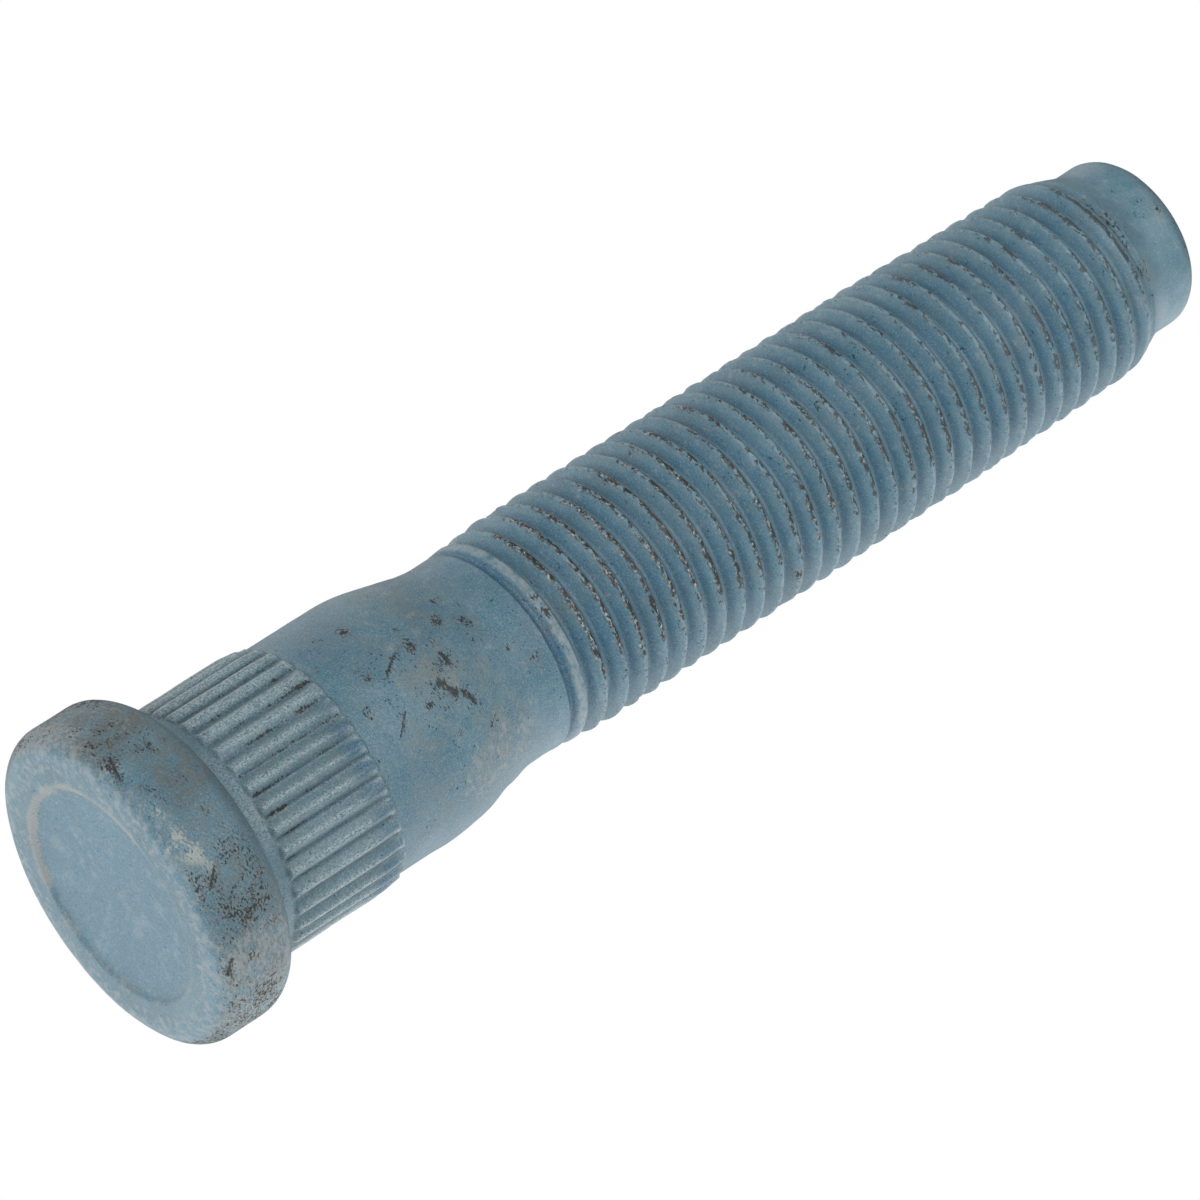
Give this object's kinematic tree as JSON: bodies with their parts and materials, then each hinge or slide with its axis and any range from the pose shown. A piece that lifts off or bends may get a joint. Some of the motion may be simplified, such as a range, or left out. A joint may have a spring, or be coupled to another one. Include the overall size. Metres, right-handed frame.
{
  "type": "wheel stud",
  "caption": "Press-in wheel stud: round head, serrated shank that bites into the hub, tapered neck, right-hand fine thread and smooth pilot tip for a lug nut.",
  "frame": {"origin": "centre of the head's end face, where the stud stands on its head", "axes": "+Z along the stud's axis from the head to the threaded tip; X and Y across it, with a serration on +X"},
  "size_m": [0.02, 0.02, 0.0793],
  "materials": {
    "coated_steel": "satin"
  },
  "bodies": {
    "root": {"wheel_stud": "coated_steel"}
  },
  "joints": []
}
